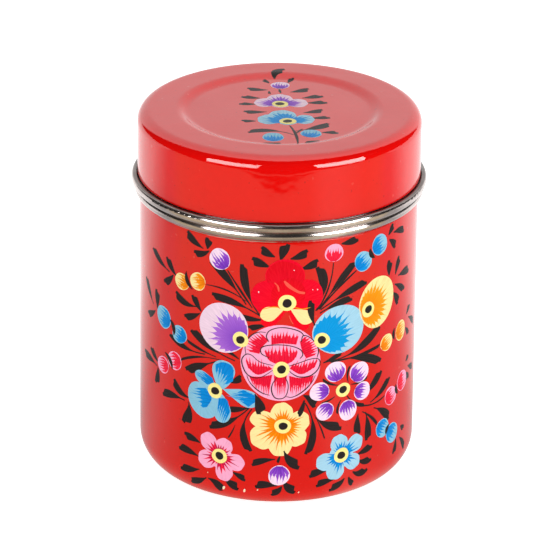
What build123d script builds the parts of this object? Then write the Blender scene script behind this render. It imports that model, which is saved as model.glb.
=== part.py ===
"""Flour sifter: a lidded steel canister with a push-in sieve under the lid.

Millimetres. +Z up, origin at the centre of the plane the canister stands on. Every shell is
pressed or spun sheet steel, so each is drawn as one open line, thickened and revolved.
"""

import os
from math import asin, degrees, sqrt

from build123d import *

os.makedirs("parts", exist_ok=True)

# Sheet and wire stock
SHEET = 0.5
WIRE_R = 0.175
MESH_PITCH = 1.5

# Canister body
BODY_R = 45.0
MOUTH_Z = 114.0
BASE_CORNER_R = 10.5
BASE_PUSH_UP = 0.8
BASE_PANEL_R = 27.0
BASE_STEP = 2.5
BEAD_Z = 96.5
BEAD_R = 1.8
BEAD_FOOT_R = 0.6

# Lid: slips over the body's neck until its curled edge rests on the bead
LID_GAP = 0.16
LID_BORE_R = BODY_R + LID_GAP
LID_TOP_Z = 122.4
LID_SHOULDER_R = 4.0
PANEL_DEPTH = 1.2
PANEL_INNER_R = 28.7
PANEL_OUTER_R = 33.7
CURL_R = 1.25
CURL_BOTTOM_Z = 98.0
CURL_STRAIGHT = 0.5
CURL_TIP_ANGLE = 105

# Sieve frame: its skirt pushes into the mouth, and its collar sits on the mouth's edge
FRAME_R = BODY_R - SHEET - 0.1
FRAME_BOTTOM_Z = 104.0
FRAME_TOP_Z = 118.5
FRAME_SHOULDER_R = 1.6
FRAME_WINDOW_R = 38.5
COLLAR_OUT = 0.55
SEAT_GAP = 0.02

# Mesh, and the ring that clamps it up against the frame's flange
MESH_R = 42.4
LAYER_GAP = 0.01
CLAMP_R = FRAME_R - SHEET - 0.05
CLAMP_WINDOW_R = 39.0
CLAMP_BEND_R = 0.9
CLAMP_HEIGHT = 5.0

WARP_Z = FRAME_TOP_Z - SHEET - LAYER_GAP - WIRE_R
WEFT_Z = WARP_Z - 2 * WIRE_R - LAYER_GAP
CLAMP_TOP_Z = WEFT_Z - WIRE_R - LAYER_GAP


def s_step(r_start, z_start, r_end, z_end):
    """Joins two level lines at different heights with two equal arcs."""
    middle = ((r_start + r_end) / 2, (z_start + z_end) / 2)
    first = TangentArc((r_start, z_start), middle, tangent=(r_end - r_start, 0))
    TangentArc(middle, (r_end, z_end), tangent=first % 1)


def mesh_layer(height, turn):
    """Parallel wires at one height, each as long as the disc is wide there."""
    count = int(2 * MESH_R / MESH_PITCH)
    for i in range(count):
        offset_y = (i - (count - 1) / 2) * MESH_PITCH
        length = 2 * sqrt(MESH_R**2 - offset_y**2)
        with Locations(Location((0, 0, height), (0, 0, turn)) * Location((0, offset_y, 0))):
            Cylinder(WIRE_R, length, rotation=(0, 90, 0))


# One drawn cup: pushed-up base, straight wall, pressed bead and plain neck
with BuildPart() as canister_body:
    with BuildSketch(Plane.XZ):
        with BuildLine():
            base_flat_r = BASE_PANEL_R + BASE_STEP
            base_edge_r = BODY_R - BASE_CORNER_R
            Line((0, BASE_PUSH_UP), (BASE_PANEL_R, BASE_PUSH_UP))
            s_step(BASE_PANEL_R, BASE_PUSH_UP, base_flat_r, 0)
            Line((base_flat_r, 0), (base_edge_r, 0))
            CenterArc((base_edge_r, BASE_CORNER_R), BASE_CORNER_R, 270, 90)

            foot_r = BODY_R + BEAD_FOOT_R
            foot_rise = sqrt((BEAD_R + BEAD_FOOT_R) ** 2 - BEAD_FOOT_R**2)
            foot_turn = degrees(asin(foot_rise / (BEAD_R + BEAD_FOOT_R)))
            Line((BODY_R, BASE_CORNER_R), (BODY_R, BEAD_Z - foot_rise))
            CenterArc((foot_r, BEAD_Z - foot_rise), BEAD_FOOT_R, 180, -foot_turn)
            CenterArc((BODY_R, BEAD_Z), BEAD_R, -foot_turn, 2 * foot_turn)
            CenterArc((foot_r, BEAD_Z + foot_rise), BEAD_FOOT_R, 180 + foot_turn, -foot_turn)
            Line((BODY_R, BEAD_Z + foot_rise), (BODY_R, MOUTH_Z))
            offset(amount=SHEET, side=Side.LEFT)
        make_face()
    revolve(axis=Axis.Z)
canister_body.part.label = "canister_body"

# Lid: panel and skirt are drawn along their inner face, then the curl along its outer face
with BuildPart() as lid:
    with BuildSketch(Plane.XZ):
        curl_low_z = CURL_BOTTOM_Z + CURL_R
        with BuildLine():
            ceiling_z = LID_TOP_Z - SHEET
            bend_r = LID_SHOULDER_R - SHEET
            Line((0, ceiling_z - PANEL_DEPTH), (PANEL_INNER_R, ceiling_z - PANEL_DEPTH))
            s_step(PANEL_INNER_R, ceiling_z - PANEL_DEPTH, PANEL_OUTER_R, ceiling_z)
            Line((PANEL_OUTER_R, ceiling_z), (LID_BORE_R - bend_r, ceiling_z))
            CenterArc((LID_BORE_R - bend_r, ceiling_z - bend_r), bend_r, 90, -90)
            Line((LID_BORE_R, ceiling_z - bend_r), (LID_BORE_R, curl_low_z))
            offset(amount=SHEET, side=Side.LEFT)
        make_face()
        with BuildLine():
            curl_centre_r = LID_BORE_R + CURL_R
            curl_outer_r = curl_centre_r + CURL_R
            curl_high_z = curl_low_z + CURL_STRAIGHT
            CenterArc((curl_centre_r, curl_low_z), CURL_R, 180, 180)
            Line((curl_outer_r, curl_low_z), (curl_outer_r, curl_high_z))
            CenterArc((curl_centre_r, curl_high_z), CURL_R, 0, CURL_TIP_ANGLE)
            offset(amount=SHEET, side=Side.LEFT)
        make_face()
    revolve(axis=Axis.Z)
lid.part.label = "lid"

# Sieve frame: skirt inside the mouth, collar over its edge, flange over the mesh
with BuildPart() as sieve_frame:
    with BuildSketch(Plane.XZ):
        with BuildLine():
            seat_z = MOUTH_Z + SEAT_GAP
            collar_r = FRAME_R + COLLAR_OUT
            shoulder_z = FRAME_TOP_Z - FRAME_SHOULDER_R
            flange_r = collar_r - FRAME_SHOULDER_R
            Line((FRAME_R, FRAME_BOTTOM_Z), (FRAME_R, seat_z))
            CenterArc((FRAME_R, seat_z + COLLAR_OUT), COLLAR_OUT, 270, 90)
            Line((collar_r, seat_z + COLLAR_OUT), (collar_r, shoulder_z))
            CenterArc((flange_r, shoulder_z), FRAME_SHOULDER_R, 0, 90)
            Line((flange_r, FRAME_TOP_Z), (FRAME_WINDOW_R, FRAME_TOP_Z))
            offset(amount=SHEET, side=Side.LEFT)
        make_face()
    revolve(axis=Axis.Z)
sieve_frame.part.label = "sieve_frame"

# Clamp ring: an angle ring pushed up inside the frame
with BuildPart() as mesh_clamp_ring:
    with BuildSketch(Plane.XZ):
        with BuildLine():
            clamp_bend = (CLAMP_R - CLAMP_BEND_R, CLAMP_TOP_Z - CLAMP_BEND_R)
            Line((CLAMP_R, CLAMP_TOP_Z - CLAMP_HEIGHT), (CLAMP_R, clamp_bend[1]))
            CenterArc(clamp_bend, CLAMP_BEND_R, 0, 90)
            Line((clamp_bend[0], CLAMP_TOP_Z), (CLAMP_WINDOW_R, CLAMP_TOP_Z))
            offset(amount=SHEET, side=Side.LEFT)
        make_face()
    revolve(axis=Axis.Z)
mesh_clamp_ring.part.label = "mesh_clamp_ring"

# Mesh: one layer of wires along X, and one along Y just under it
with BuildPart() as mesh_warp_wires:
    mesh_layer(WARP_Z, turn=0)
mesh_warp_wires.part.label = "mesh_warp_wires"

with BuildPart() as mesh_weft_wires:
    mesh_layer(WEFT_Z, turn=90)
mesh_weft_wires.part.label = "mesh_weft_wires"

export_step(canister_body.part, "parts/canister_body.step")
export_step(lid.part, "parts/lid.step")
export_step(sieve_frame.part, "parts/sieve_frame.step")
export_step(mesh_clamp_ring.part, "parts/mesh_clamp_ring.step")
export_step(mesh_warp_wires.part, "parts/mesh_warp_wires.step")
export_step(mesh_weft_wires.part, "parts/mesh_weft_wires.step")
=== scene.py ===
"""Looks of the flour sifter: red lacquer over bright steel, painted with folk flowers.

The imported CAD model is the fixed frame. Blender adds the lacquer coats, the brushwork, the woven
wire cloth and every material. Drawing is done in millimetres and turned into metres once.
"""

import random
from math import atan2, ceil, cos, degrees, hypot, pi, radians, sin, sqrt

import bpy
import numpy as np
from mathutils import Matrix, Vector


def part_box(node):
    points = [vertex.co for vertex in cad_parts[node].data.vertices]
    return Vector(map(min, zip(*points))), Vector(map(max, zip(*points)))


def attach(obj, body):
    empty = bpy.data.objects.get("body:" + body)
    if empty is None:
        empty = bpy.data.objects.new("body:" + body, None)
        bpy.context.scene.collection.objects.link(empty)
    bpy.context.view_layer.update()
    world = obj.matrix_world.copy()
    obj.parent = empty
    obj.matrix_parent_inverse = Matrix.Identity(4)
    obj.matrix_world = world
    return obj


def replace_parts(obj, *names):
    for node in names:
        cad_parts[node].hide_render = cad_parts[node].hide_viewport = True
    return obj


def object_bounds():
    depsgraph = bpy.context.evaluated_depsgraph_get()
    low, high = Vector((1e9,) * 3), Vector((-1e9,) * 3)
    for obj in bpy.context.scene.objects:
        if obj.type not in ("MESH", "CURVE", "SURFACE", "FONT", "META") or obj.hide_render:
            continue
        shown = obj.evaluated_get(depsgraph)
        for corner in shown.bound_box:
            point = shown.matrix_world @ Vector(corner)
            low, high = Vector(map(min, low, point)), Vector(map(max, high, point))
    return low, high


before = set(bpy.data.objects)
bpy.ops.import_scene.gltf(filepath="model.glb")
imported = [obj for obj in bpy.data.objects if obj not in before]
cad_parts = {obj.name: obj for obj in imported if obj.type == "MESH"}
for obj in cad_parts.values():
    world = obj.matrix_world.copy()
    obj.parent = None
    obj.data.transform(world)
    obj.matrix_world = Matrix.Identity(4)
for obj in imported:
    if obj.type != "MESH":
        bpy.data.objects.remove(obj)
cad_low, cad_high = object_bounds()

MM = 0.001

# ---- Driving sizes, in millimetres, read from the frame where it shows them

body_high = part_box("canister_body")[1] / MM
lid_low, lid_high = (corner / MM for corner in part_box("lid"))
warp_low, warp_high = (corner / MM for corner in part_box("mesh_warp_wires"))
weft_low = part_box("mesh_weft_wires")[0] / MM

BEAD_OUT = 1.8
BODY_R = body_high.x - BEAD_OUT
WALL_TOP = 94.2
CORNER_R = 10.5
CURL_OUT = 2.0
CURL_TALL = 3.15
LID_WALL_R = lid_high.x - CURL_OUT
LID_TOP = lid_high.z
LID_SHOULDER_R = 4.0
LID_WALL_BOTTOM = lid_low.z + CURL_TALL
PANEL_DEPTH = 1.2
PANEL_INNER_R = 28.7
PANEL_OUTER_R = 33.7
STEP_BEND_R = 5.5

# The lacquer: how thick, how far sunk into the steel, and how far above the corner it evens out
COAT = 0.09
SINK = 0.05
FADE = 6.0

# The paint: how wide and how deep a film's edge rounds over, and the step that finds its normals
EDGE = 0.12
ROUND = 0.014
STEP = 0.05

# Height of each layer of paint above the lacquer
LEAF_LIFT = 0.02
PETAL_LIFT = 0.04
SHADE_LIFT = 0.06
OVER_LIFT = 0.08
LINE_LIFT = 0.09
RING_LIFT = 0.11
PUPIL_LIFT = 0.14

LEAF_FULLNESS = 1.06
COMB_ROWS = 6

# Marks of single hairs: their width, and the layers they lie in above the shading
HAIR = 0.26
DEEP_HAIR = SHADE_LIFT + 0.004
ROOT_HAIR = SHADE_LIFT + 0.006
PALE_HAIR = SHADE_LIFT + 0.01


def srgb(r, g, b):
    """Linear colour of a display colour given as 0 to 255."""
    return np.array([c / 3294.6 if c <= 10 else ((c / 255 + 0.055) / 1.055) ** 2.4 for c in (r, g, b)])


INK = srgb(44, 37, 37)
CREAM = srgb(255, 240, 150)
YELLOW = srgb(255, 232, 160)
AMBER = srgb(252, 166, 20)
DEEP_AMBER = srgb(250, 128, 0)
PINK = srgb(255, 176, 208)
ROSE = srgb(250, 34, 66)
DEEP_ROSE = srgb(238, 18, 54)
BERRY = srgb(196, 20, 74)
SCARLET = srgb(252, 0, 30)
DEEP_SCARLET = srgb(226, 2, 26)
CRIMSON = srgb(240, 0, 40)
FOLD = srgb(255, 96, 78)
WHITE_LILAC = srgb(252, 238, 246)
PALE_VIOLET = srgb(250, 222, 240)
LILAC = srgb(244, 214, 230)
ORCHID = srgb(186, 118, 220)
PURPLE = srgb(158, 80, 208)
VIOLET = srgb(124, 58, 190)
SKY = srgb(166, 212, 232)
PALE_BLUE = srgb(140, 198, 222)
BRIGHT_BLUE = srgb(10, 156, 220)
BLUE = srgb(0, 150, 222)
DEEP_BLUE = srgb(0, 132, 216)

# ---- The painted surfaces


def above_corner(z):
    """1 on the wall, fading to 0 where it rounds into the base."""
    return np.clip((z - CORNER_R) / FADE, 0, 1)


def hand_dip(a, b):
    """Slow unevenness of a dipped coat, in millimetres."""
    return 0.018 * (np.sin(0.31 * a + 0.17 * b + 1.3) + np.sin(0.23 * b - 0.19 * a) * 0.8)


def body_skin(s, h, lift):
    """Point above the body's lacquer: s runs round the wall from the front, h up the wall."""
    turn = s / BODY_R
    fall = np.clip((CORNER_R - h) / CORNER_R, 0, pi / 2)
    thick = CORNER_R + COAT + hand_dip(BODY_R * np.sin(turn), h) * above_corner(h) + lift
    r = BODY_R - CORNER_R + thick * np.cos(fall)
    z = np.where(h > CORNER_R, h, CORNER_R - thick * np.sin(fall))
    return np.stack([r * np.sin(turn), -r * np.cos(turn), z], -1)


def lid_height(r):
    """Height of the lid's steel at radius r, over the recessed panel, its step and the rim."""
    half_step = (PANEL_OUTER_R - PANEL_INNER_R) / 2

    def rise(run):
        return STEP_BEND_R - np.sqrt(STEP_BEND_R**2 - np.clip(run, 0, half_step) ** 2)

    scale = PANEL_DEPTH / 2 / rise(half_step)
    inside = LID_TOP - PANEL_DEPTH + scale * rise(r - PANEL_INNER_R)
    outside = LID_TOP - scale * rise(PANEL_OUTER_R - r)
    return np.where(r < PANEL_INNER_R + half_step, inside, outside)


def lid_skin(x, y, lift):
    """Point above the lacquer on the lid's top, x to the right and y away from the viewer."""
    return np.stack([x, y, lid_height(np.hypot(x, y)) + COAT + hand_dip(x, y) + lift], -1)


# ---- Meshes


def make_object(name, points, faces, body, material):
    """A piece from points in millimetres."""
    mesh = bpy.data.meshes.new(name)
    mesh.from_pydata((np.asarray(points) * MM).tolist(), [], faces)
    mesh.validate()
    mesh.shade_smooth()
    mesh.materials.append(material)
    piece = bpy.data.objects.new(name, mesh)
    bpy.context.scene.collection.objects.link(piece)
    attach(piece, body)
    return piece


def strip(a, b):
    """Quads between two rings of the same length."""
    n = len(a)
    return [(a[i], a[(i + 1) % n], b[(i + 1) % n], b[i]) for i in range(n)]


# A stroke's cross-section: across it from edge to edge, then how high; None lies under the lacquer
STROKE_SECTION = (
    (-1, -1.0), (-0.7, -0.2), (0, 0.2), (0.7, -0.2), (1, -1.0), (1, None), (0, None), (-1, None),
)

# How wide a film's brush strokes are taken to sweep, and how far apart two films' streaks may start
SWEEP = 0.6
LOOSE = 90


class Brushwork:
    """Shapes painted on one surface, collected as closed films of paint in one mesh.

    Each point keeps its tint and its flow: how far it lies across and along its brush stroke. It
    shades like the surface under it, since a film's own rounding is far too thin to see.
    """

    def __init__(self, surface, seed):
        self.surface = surface
        self.rng = random.Random(seed)
        self.points, self.faces, self.normals, self.tints, self.flows = [], [], [], [], []
        self.count = 0

    def add(self, plan, lift, tint, flow):
        """Adds points and returns their numbers."""
        plan = np.asarray(plan, float).reshape(-1, 2)
        height = np.broadcast_to(lift, len(plan))
        here, right, up = (
            self.surface(plan[:, 0] + a, plan[:, 1] + b, height) for a, b in ((0, 0), (STEP, 0), (0, STEP)))
        self.points.append(here)
        self.normals.append(np.cross(right - here, up - here))
        self.tints.append(np.broadcast_to(tint, (len(plan), 3)))
        self.flows.append(np.broadcast_to(flow, (len(plan), 3)))
        first, self.count = self.count, self.count + len(plan)
        return list(range(first, self.count))

    def film(self, outline, centre, lift, tints, root=None, grain=1.1):
        """A film with this outline, which every line from centre crosses once.

        tints are its colours nearest to and farthest from root, where its brush strokes start.
        """
        outline, centre = np.asarray(outline, float), np.asarray(centre, float)
        x, y = (outline - centre).T
        if (x * np.roll(y, -1) - y * np.roll(x, -1)).sum() < 0:
            outline = outline[::-1]
        root = centre if root is None else np.asarray(root, float)
        reach = np.hypot(*(outline - centre).T)
        steps = max(1, ceil(reach.max() / grain))
        edge = min(0.5, EDGE / reach.mean())
        shares = [1.0, 1 - edge] + [(1 - edge) * (1 - k / steps) for k in range(1, steps)]
        far = np.hypot(*(outline - root).T).max()
        seed = self.rng.random() * LOOSE

        def ring(share, height):
            plan = centre + (outline - centre) * share
            away = plan - root
            along = np.hypot(*away.T)
            mix = np.clip(along / far, 0, 1)[:, None]
            across = np.arctan2(away[:, 1], away[:, 0]) * far * SWEEP
            flow = np.stack([across, along, np.full(len(plan), seed)], -1)
            return self.add(plan, height, tints[0] * (1 - mix) + tints[1] * mix, flow)

        top_edge = None
        for side, turned in ((lift, 1), (-SINK, -1)):
            rings = [ring(share, side if k or side < 0 else lift - ROUND) for k, share in enumerate(shares)]
            middle = ring(0, side)[0]
            if top_edge:
                self.faces += strip(rings[0], top_edge)
            top_edge = rings[0]
            for outer, inner in zip(rings, rings[1:]):
                self.faces += [quad[::turned] for quad in strip(outer, inner)]
            innermost = zip(rings[-1], rings[-1][1:] + rings[-1][:1])
            self.faces += [(*pair[::turned], middle) for pair in innermost]

    def sheet(self, grid, lift, tints, root):
        """A film over a grid of places; its last row may be cut into points."""
        grid, root = np.asarray(grid, float), np.asarray(root, float)
        rows, columns = grid.shape[:2]
        out = grid[-1, columns // 2] - grid[0, columns // 2]
        over = grid[rows // 2, -1] - grid[rows // 2, 0]
        if out[0] * over[1] - out[1] * over[0] < 0:
            grid = grid[:, ::-1]
        plan = grid.reshape(-1, 2)
        along = np.hypot(*(plan - root).T)
        far = along.max()
        mix = (along / far)[:, None]
        colour = tints[0] * (1 - mix) + tints[1] * mix
        bearing = np.arctan2(*(plan - root).T)
        flow = np.stack([bearing * far * SWEEP, along, np.full(len(along), self.rng.random() * LOOSE)], -1)
        rim = np.zeros((rows, columns), bool)
        rim[[0, -1]] = rim[:, [0, -1]] = True
        heights = np.where(rim, lift - ROUND, lift).ravel(), -SINK
        numbers = (self.add(plan, height, colour, flow) for height in heights)
        top, under = (np.reshape(side, (rows, columns)).tolist() for side in numbers)
        for i in range(rows - 1):
            for j in range(columns - 1):
                self.faces.append((top[i][j], top[i + 1][j], top[i + 1][j + 1], top[i][j + 1]))
                self.faces.append((under[i][j], under[i][j + 1], under[i + 1][j + 1], under[i + 1][j]))
        walk = [(0, j) for j in range(columns)] + [(i, columns - 1) for i in range(1, rows)]
        walk += [(rows - 1, j) for j in range(columns - 2, -1, -1)]
        walk += [(i, 0) for i in range(rows - 2, 0, -1)]
        self.faces += strip([top[i][j] for i, j in walk], [under[i][j] for i, j in walk])

    def stroke(self, spine, left, right, lift, tints):
        """One brush stroke along spine, reaching left and right of it by these widths."""
        spine, left, right = (np.asarray(v, float) for v in (spine, left, right))
        ahead = np.gradient(spine, axis=0)
        ahead /= np.hypot(*ahead.T)[:, None]
        normal = np.stack([-ahead[:, 1], ahead[:, 0]], -1)
        run = np.concatenate([[0], np.cumsum(np.hypot(*np.diff(spine, axis=0).T))])
        seed = self.rng.random() * LOOSE
        columns = []
        for side, rise in STROKE_SECTION:
            width = np.where(side < 0, right, left)
            plan = spine + normal * (width * side)[:, None]
            mix = (run / run[-1])[:, None]
            height = -SINK if rise is None else lift + ROUND * rise
            flow = np.stack([width * side, run, np.full(len(run), seed)], -1)
            columns.append(self.add(plan, height, tints[0] * (1 - mix) + tints[1] * mix, flow))
        rings = list(zip(*columns))
        for a, b in zip(rings, rings[1:]):
            self.faces += strip(b, a)
        self.faces += [rings[0][::-1], rings[-1]]

    def make(self, name, body):
        """Turns what was painted into a piece that rides on body."""
        mesh = make_object(name, np.concatenate(self.points), self.faces, body, paint).data
        tints = np.concatenate(self.tints)
        colour = mesh.attributes.new("tint", "FLOAT_COLOR", "POINT")
        colour.data.foreach_set("color", np.hstack([tints, np.ones((len(tints), 1))]).ravel())
        flow = mesh.attributes.new("flow", "FLOAT_VECTOR", "POINT")
        flow.data.foreach_set("vector", np.concatenate(self.flows).ravel())
        normals = np.concatenate(self.normals)
        normals /= np.linalg.norm(normals, axis=1)[:, None]
        mesh.normals_split_custom_set_from_vertices(normals.tolist())


# ---- Materials


class Nodes:
    """Builds the node tree of one material or world, with short calls for the nodes used here."""

    def __init__(self, owner):
        owner.use_nodes = True
        self.owner = owner
        self.tree = owner.node_tree
        self.shader = self.tree.nodes.get("Principled BSDF")

    def link(self, value, socket):
        if isinstance(value, bpy.types.NodeSocket):
            self.tree.links.new(value, socket)
        else:
            socket.default_value = value

    def node(self, kind, settings=(), **inputs):
        made = self.tree.nodes.new(kind)
        for key, value in dict(settings).items():
            setattr(made, key, value)
        for key, value in inputs.items():
            self.link(value, made.inputs[key.replace("_", " ")])
        return made

    def operate(self, kind, operation, values):
        made = self.node(kind, {"operation": operation})
        for value, socket in zip(values, made.inputs):
            self.link(value, socket)
        return made

    def maths(self, operation, a, b=0.0):
        return self.operate("ShaderNodeMath", operation, (a, b)).outputs[0]

    def vector_maths(self, operation, *vectors):
        return self.operate("ShaderNodeVectorMath", operation, vectors).outputs[0]

    def measure(self, operation, *vectors):
        """A dot product or a length, which come out as one number."""
        return self.operate("ShaderNodeVectorMath", operation, vectors).outputs["Value"]

    def parts(self, vector):
        return self.node("ShaderNodeSeparateXYZ", Vector=vector).outputs

    def place(self):
        return self.node("ShaderNodeTexCoord").outputs["Object"]

    def noise(self, vector, scale, detail=2.0, roughness=0.5):
        made = self.node("ShaderNodeTexNoise", Vector=vector, Scale=scale, Detail=detail, Roughness=roughness)
        return made.outputs[0]

    def ramp(self, value, low, high, out_low=0.0, out_high=1.0):
        """value mapped from low..high to out_low..out_high, and held there."""
        given = {"Value": value, "From_Min": low, "From_Max": high, "To_Min": out_low, "To_Max": out_high}
        return self.node("ShaderNodeMapRange", **given).outputs[0]

    def mix(self, share, a, b):
        made = self.node("ShaderNodeMix", {"data_type": "RGBA"})
        self.link(share, made.inputs["Factor"])
        for key, colour in (("A", a), ("B", b)):
            socket = [i for i in made.inputs if i.name == key and i.type == "RGBA"][0]
            self.link(colour if isinstance(colour, bpy.types.NodeSocket) else (*colour, 1.0), socket)
        return [o for o in made.outputs if o.type == "RGBA"][0]

    def bump(self, height, strength, distance, normal=None):
        made = self.node("ShaderNodeBump", Strength=strength, Distance=distance, Height=height)
        if normal is not None:
            self.link(normal, made.inputs["Normal"])
        return made.outputs[0]

    def glare(self):
        """1 where a level surface is seen from behind, and would mirror a whole softbox."""
        seen = self.node("ShaderNodeNewGeometry").outputs
        level = self.ramp(self.parts(seen["Normal"])["Z"], 0.9, 0.99)
        behind = self.ramp(self.parts(seen["Incoming"])["Y"], 0.1, 0.4)
        return self.maths("MULTIPLY", level, behind)

    def set(self, **inputs):
        for key, value in inputs.items():
            self.link(value, self.shader.inputs[key.replace("_", " ")])


GLOSS_FROM_BEHIND = 0.16


def lacquer_material(name, red):
    """Dipped gloss lacquer: faint cloudiness, orange peel, dust nibs and small dark pits."""
    n = Nodes(bpy.data.materials.new(name))
    place = n.place()
    cloud = n.noise(place, scale=38.0, detail=3.0)
    fine = n.noise(place, scale=420.0, detail=3.0)
    pits = n.ramp(n.noise(place, scale=900.0, detail=1.0), 0.74, 0.78)
    elsewhere = n.vector_maths("ADD", place, (3.1, 0.7, 5.3))
    nibs = n.ramp(n.noise(elsewhere, scale=620.0, detail=0.0), 0.80, 0.86)
    colour = n.mix(n.ramp(cloud, 0.3, 0.7), red, red * 0.93)
    colour = n.mix(n.ramp(fine, 0.35, 0.75, 0.0, 0.25), colour, red * 0.82)
    colour = n.mix(n.maths("MULTIPLY", pits, 0.4), colour, srgb(130, 6, 8))
    colour = n.mix(n.maths("MULTIPLY", nibs, 0.15), colour, srgb(244, 120, 104))
    peel = n.bump(n.noise(place, scale=260.0, detail=1.0), strength=0.025, distance=0.001)
    dust = n.bump(nibs, strength=0.3, distance=0.0001, normal=peel)
    n.set(Base_Color=colour, Roughness=n.ramp(fine, 0.3, 0.7, 0.2, 0.3), Specular_IOR_Level=0.0, Normal=dust)
    n.set(IOR=1.5, Coat_Roughness=n.ramp(cloud, 0.3, 0.7, 0.02, 0.06), Coat_Normal=dust)
    n.set(Coat_Weight=n.ramp(n.glare(), 0.0, 1.0, 1.0, GLOSS_FROM_BEHIND))
    return n.owner


def paint_material():
    """Brush paint: each film's own tint, streaked along its strokes."""
    n = Nodes(bpy.data.materials.new("brush_paint"))
    tint = n.node("ShaderNodeAttribute", {"attribute_name": "tint"}).outputs["Color"]
    flow = n.node("ShaderNodeAttribute", {"attribute_name": "flow"}).outputs["Vector"]
    hairs = n.noise(n.vector_maths("MULTIPLY", flow, (2.6, 0.22, 1.0)), scale=1.0, detail=3.0, roughness=0.6)
    pools = n.noise(n.vector_maths("MULTIPLY", flow, (0.5, 0.4, 1.0)), scale=1.0)
    light = n.node("ShaderNodeHueSaturation", Value=1.14, Color=tint).outputs[0]
    dark = n.node("ShaderNodeHueSaturation", Saturation=1.03, Value=0.86, Color=tint).outputs[0]
    colour = n.mix(n.ramp(hairs, 0.3, 0.7), dark, light)
    colour = n.mix(n.ramp(pools, 0.3, 0.65, 0.2, 0.8), colour, tint)
    n.set(Base_Color=colour, IOR=1.5, Specular_IOR_Level=0.07)
    n.set(Roughness=n.ramp(n.glare(), 0.0, 1.0, n.ramp(hairs, 0.3, 0.7, 0.2, 0.34), 1.0))
    n.set(Normal=n.bump(hairs, strength=0.15, distance=0.00003))
    return n.owner


def steel_material(name, colour, dull):
    """Spun sheet steel: fine turning lines round the axis, soft stains, and painted shade, blotched by the
    stains, where it faces up.
    """
    n = Nodes(bpy.data.materials.new(name))
    place = n.place()
    x, y, z = n.parts(place)
    radius = n.measure("LENGTH", n.node("ShaderNodeCombineXYZ", X=x, Y=y).outputs[0])
    round_about = n.maths("MULTIPLY", n.maths("ARCTAN2", y, x), 0.0006)
    spun = n.node("ShaderNodeCombineXYZ", X=radius, Y=z, Z=round_about).outputs[0]
    lines = n.noise(spun, scale=9000.0, detail=3.0, roughness=0.7)
    stains = n.noise(place, scale=110.0, detail=4.0, roughness=0.6)
    shade = n.mix(n.ramp(stains, 0.35, 0.75), colour, colour * 0.62)
    shade = n.mix(n.ramp(lines, 0.3, 0.7, 0.0, 0.3), shade, colour * 0.75)
    facing_up = n.parts(n.node("ShaderNodeNewGeometry").outputs["Normal"])["Z"]
    # Painted shade: faces that look up are darkened in blotches, to dim what they mirror
    painted_top_shade = n.maths("MULTIPLY", n.ramp(facing_up, 0.5, 0.8), n.ramp(stains, 0.2, 0.6, 0.75, 0.95))
    n.set(Base_Color=n.mix(painted_top_shade, shade, srgb(84, 72, 68)), Metallic=1.0)
    n.set(Roughness=n.ramp(lines, 0.3, 0.7, dull * 0.85, dull * 1.15))
    n.set(Normal=n.bump(lines, strength=0.08, distance=0.00002), Anisotropic=0.8, Anisotropic_Rotation=0.25)
    n.set(Tangent=n.node("ShaderNodeTangent", {"direction_type": "RADIAL", "axis": "Z"}).outputs[0])
    return n.owner


def wire_material():
    """Drawn wire: a fine random grain of lighter and greyer tone, and faint floury dust."""
    n = Nodes(bpy.data.materials.new("drawn_wire"))
    place = n.place()
    grain = n.noise(place, scale=2600.0)
    dust = n.noise(place, scale=90.0, detail=3.0)
    colour = n.mix(n.ramp(grain, 0.3, 0.7), srgb(176, 176, 174), srgb(132, 131, 128))
    colour = n.mix(n.ramp(dust, 0.5, 0.8, 0.0, 0.3), colour, srgb(205, 200, 190))
    n.set(Base_Color=colour, Metallic=1.0, Roughness=n.ramp(grain, 0.3, 0.7, 0.2, 0.38))
    n.set(Normal=n.bump(grain, strength=0.2, distance=0.00002))
    return n.owner


body_lacquer = lacquer_material("body_lacquer", srgb(225, 9, 4))
# The lid's red is a lighter copy of the body's lacquer: painted light, for a brighter lid
lid_lacquer = lacquer_material("lid_lacquer", srgb(236, 7, 4))
paint = paint_material()
bright_steel = steel_material("spun_steel", srgb(206, 194, 190), 0.18)
inner_steel = steel_material("sieve_steel", srgb(204, 201, 198), 0.3)
wire_steel = wire_material()

# ---- Lacquer coats

TURNS = 360
ON_AXIS = 1e-6

# A coat thins out towards its edge, over lines that lie this far from it
EDGE_LINES = np.array([0, 0.12, 0.3, 0.6])
# Where the next lines start, in height, and how many there are
WALL_FROM, WALL_LINES = 92, 40
SKIRT_FROM, SKIRT_LINES = 103, 10
# How far round the corner the coat goes, in degrees, and the lines over a bend
CORNER_ENDS, CORNER_LINES = 79, 24
SHOULDER_LINES = 16
# Over the lid's top: from one radius to another, and how many lines
RIM_FLAT = (40.5, 34.2, 6)
PANEL_STEP = (PANEL_OUTER_R, PANEL_INNER_R, 22)
PANEL_FLAT = (28, 0, 24)


def feathered(k):
    """Thickness of the coat at its k-th line from the edge."""
    return COAT * min(1, 0.15 + k / 3)


def revolved(outer, inner, unevenness, name, body, lacquer):
    """A coat between two lines of (r, z), from its first edge to its last.

    unevenness(points, rings) moves the rings of points whose lacquer lies unevenly.
    """
    angles = np.linspace(0, 2 * pi, TURNS, endpoint=False)
    points, rings = [], []
    for r, z in outer + inner[::-1]:
        if r < ON_AXIS:
            rings.append([len(points)] * TURNS)
            points.append((0, 0, z))
            continue
        rings.append(list(range(len(points), len(points) + TURNS)))
        points += [(r * cos(a), r * sin(a), z) for a in angles]
    points = np.array(points, float)
    unevenness(points, rings)
    faces = []
    for a, b in zip(rings, rings[1:] + rings[:1]):
        corners = (list(dict.fromkeys(quad)) for quad in strip(a, b))
        faces += [face for face in corners if len(face) > 2]
    return make_object(name, points, faces, body, lacquer)


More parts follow.
